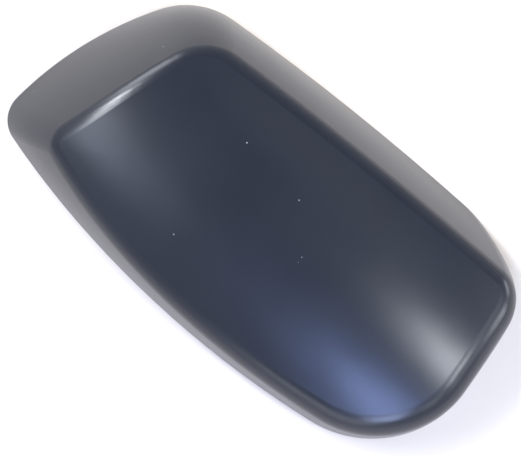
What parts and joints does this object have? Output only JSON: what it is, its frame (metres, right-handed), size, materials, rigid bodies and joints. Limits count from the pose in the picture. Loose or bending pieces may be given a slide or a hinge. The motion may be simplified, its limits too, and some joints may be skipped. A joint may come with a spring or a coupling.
{
  "type": "wing mirror cover",
  "caption": "Crowned thin-walled cap for the front of a car's wing mirror housing, with a deep sloping inboard end, an open back, and snap hooks and locating pins moulded inside.",
  "frame": {"origin": "middle of the cover's outline, in the plane of its rim, where it lies on a table with its face up", "axes": "+X towards the outboard end, +Y towards the upper side as fitted on the car, +Z out of the crowned face"},
  "size_m": [0.231, 0.1214, 0.048],
  "materials": {
    "primed_plastic": "smooth dark blue-grey primer with a satin sheen"
  },
  "bodies": {
    "root": {"mirror_cover": "primed_plastic"}
  },
  "joints": []
}
